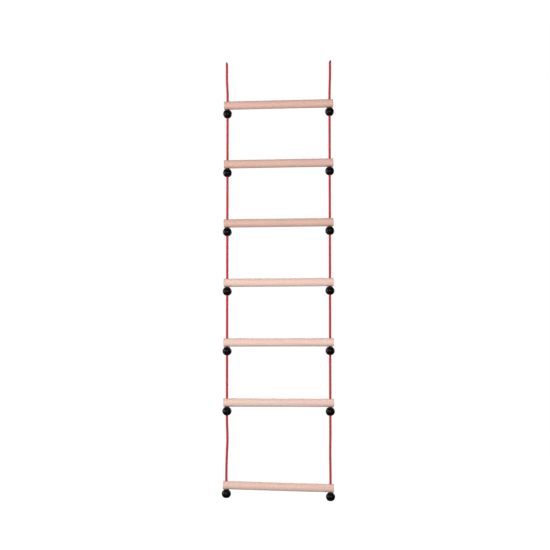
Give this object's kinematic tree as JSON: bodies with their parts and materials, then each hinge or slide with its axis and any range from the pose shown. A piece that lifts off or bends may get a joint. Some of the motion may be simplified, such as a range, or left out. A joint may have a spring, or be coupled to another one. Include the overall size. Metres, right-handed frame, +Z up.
{
  "type": "escape rope ladder",
  "caption": "Hanging rope ladder: round wooden rungs on two side ropes, each rung carried by a ball stop clamped to each rope.",
  "frame": {"origin": "half-way between the tips of the two rope tails, where the ladder hangs", "axes": "+Z up along the ropes, +X to the right along the rungs, +Y to the back"},
  "size_m": [0.5113, 0.042, 2.0085],
  "materials": {
    "rung_wood": "sanded, oiled beech",
    "rope": "braided polyester",
    "stop_plastic": "moulded, satin gloss",
    "screw_steel": "zinc plated"
  },
  "bodies": {
    "hanger": {"left_rope_tail": "rope", "right_rope_tail": "rope"},
    "section_1": {"left_stop_1_front": "stop_plastic", "left_stop_1_rear": "stop_plastic", "left_rope_1": "rope", "right_stop_1_front": "stop_plastic", "right_stop_1_rear": "stop_plastic", "right_rope_1": "rope", "stop_screws_1": "screw_steel"},
    "rung_1": {"rung_1": "rung_wood"},
    "section_2": {"left_stop_2_front": "stop_plastic", "left_stop_2_rear": "stop_plastic", "left_rope_2": "rope", "right_stop_2_front": "stop_plastic", "right_stop_2_rear": "stop_plastic", "right_rope_2": "rope", "stop_screws_2": "screw_steel"},
    "rung_2": {"rung_2": "rung_wood"},
    "section_3": {"left_stop_3_front": "stop_plastic", "left_stop_3_rear": "stop_plastic", "left_rope_3": "rope", "right_stop_3_front": "stop_plastic", "right_stop_3_rear": "stop_plastic", "right_rope_3": "rope", "stop_screws_3": "screw_steel"},
    "rung_3": {"rung_3": "rung_wood"},
    "section_4": {"left_stop_4_front": "stop_plastic", "left_stop_4_rear": "stop_plastic", "left_rope_4": "rope", "right_stop_4_front": "stop_plastic", "right_stop_4_rear": "stop_plastic", "right_rope_4": "rope", "stop_screws_4": "screw_steel"},
    "rung_4": {"rung_4": "rung_wood"},
    "section_5": {"left_stop_5_front": "stop_plastic", "left_stop_5_rear": "stop_plastic", "left_rope_5": "rope", "right_stop_5_front": "stop_plastic", "right_stop_5_rear": "stop_plastic", "right_rope_5": "rope", "stop_screws_5": "screw_steel"},
    "rung_5": {"rung_5": "rung_wood"},
    "section_6": {"left_stop_6_front": "stop_plastic", "left_stop_6_rear": "stop_plastic", "left_rope_6": "rope", "right_stop_6_front": "stop_plastic", "right_stop_6_rear": "stop_plastic", "right_rope_6": "rope", "stop_screws_6": "screw_steel"},
    "rung_6": {"rung_6": "rung_wood"},
    "section_7": {"left_stop_7_front": "stop_plastic", "left_stop_7_rear": "stop_plastic", "left_rope_7": "rope", "right_stop_7_front": "stop_plastic", "right_stop_7_rear": "stop_plastic", "right_rope_7": "rope", "stop_screws_7": "screw_steel"},
    "rung_7": {"rung_7": "rung_wood"}
  },
  "joints": [
    {"name": "fold_1", "type": "hinge", "parent": "hanger", "child": "section_1", "pos_m": [0, 0, -0.105], "axis": [1, 0, 0], "range_deg": [-90, 90], "deforming": ["left_rope_1", "right_rope_1"]},
    {"name": "lift_1", "type": "slide", "parent": "section_1", "child": "rung_1", "axis": [0, 0, 1], "range_m": [0, 0.03]},
    {"name": "fold_2", "type": "hinge", "parent": "section_1", "child": "section_2", "pos_m": [0, 0, -0.3584], "axis": [-1, 0, 0], "range_deg": [-150, 150], "deforming": ["left_rope_2", "right_rope_2"]},
    {"name": "lift_2", "type": "slide", "parent": "section_2", "child": "rung_2", "axis": [0, 0, 1], "range_m": [0, 0.03]},
    {"name": "fold_3", "type": "hinge", "parent": "section_2", "child": "section_3", "pos_m": [0, 0, -0.6305], "axis": [1, 0, 0], "range_deg": [-150, 150], "deforming": ["left_rope_3", "right_rope_3"]},
    {"name": "lift_3", "type": "slide", "parent": "section_3", "child": "rung_3", "axis": [0, 0, 1], "range_m": [0, 0.03]},
    {"name": "fold_4", "type": "hinge", "parent": "section_3", "child": "section_4", "pos_m": [0, 0, -0.9027], "axis": [-1, 0, 0], "range_deg": [-150, 150], "deforming": ["left_rope_4", "right_rope_4"]},
    {"name": "lift_4", "type": "slide", "parent": "section_4", "child": "rung_4", "axis": [0, 0, 1], "range_m": [0, 0.03]},
    {"name": "fold_5", "type": "hinge", "parent": "section_4", "child": "section_5", "pos_m": [0, 0, -1.1748], "axis": [1, 0, 0], "range_deg": [-150, 150], "deforming": ["left_rope_5", "right_rope_5"]},
    {"name": "lift_5", "type": "slide", "parent": "section_5", "child": "rung_5", "axis": [0, 0, 1], "range_m": [0, 0.03]},
    {"name": "fold_6", "type": "hinge", "parent": "section_5", "child": "section_6", "pos_m": [0, 0, -1.447], "axis": [-1, 0, 0], "range_deg": [-150, 150], "deforming": ["left_rope_6", "right_rope_6"]},
    {"name": "lift_6", "type": "slide", "parent": "section_6", "child": "rung_6", "axis": [0, 0, 1], "range_m": [0, 0.03]},
    {"name": "fold_7", "type": "hinge", "parent": "section_6", "child": "section_7", "pos_m": [0, 0, -1.771], "axis": [1, 0, 0], "range_deg": [-150, 150], "deforming": ["left_rope_7", "right_rope_7"]},
    {"name": "lift_7", "type": "slide", "parent": "section_7", "child": "rung_7", "axis": [0, 0, 1], "range_m": [0, 0.03]}
  ]
}
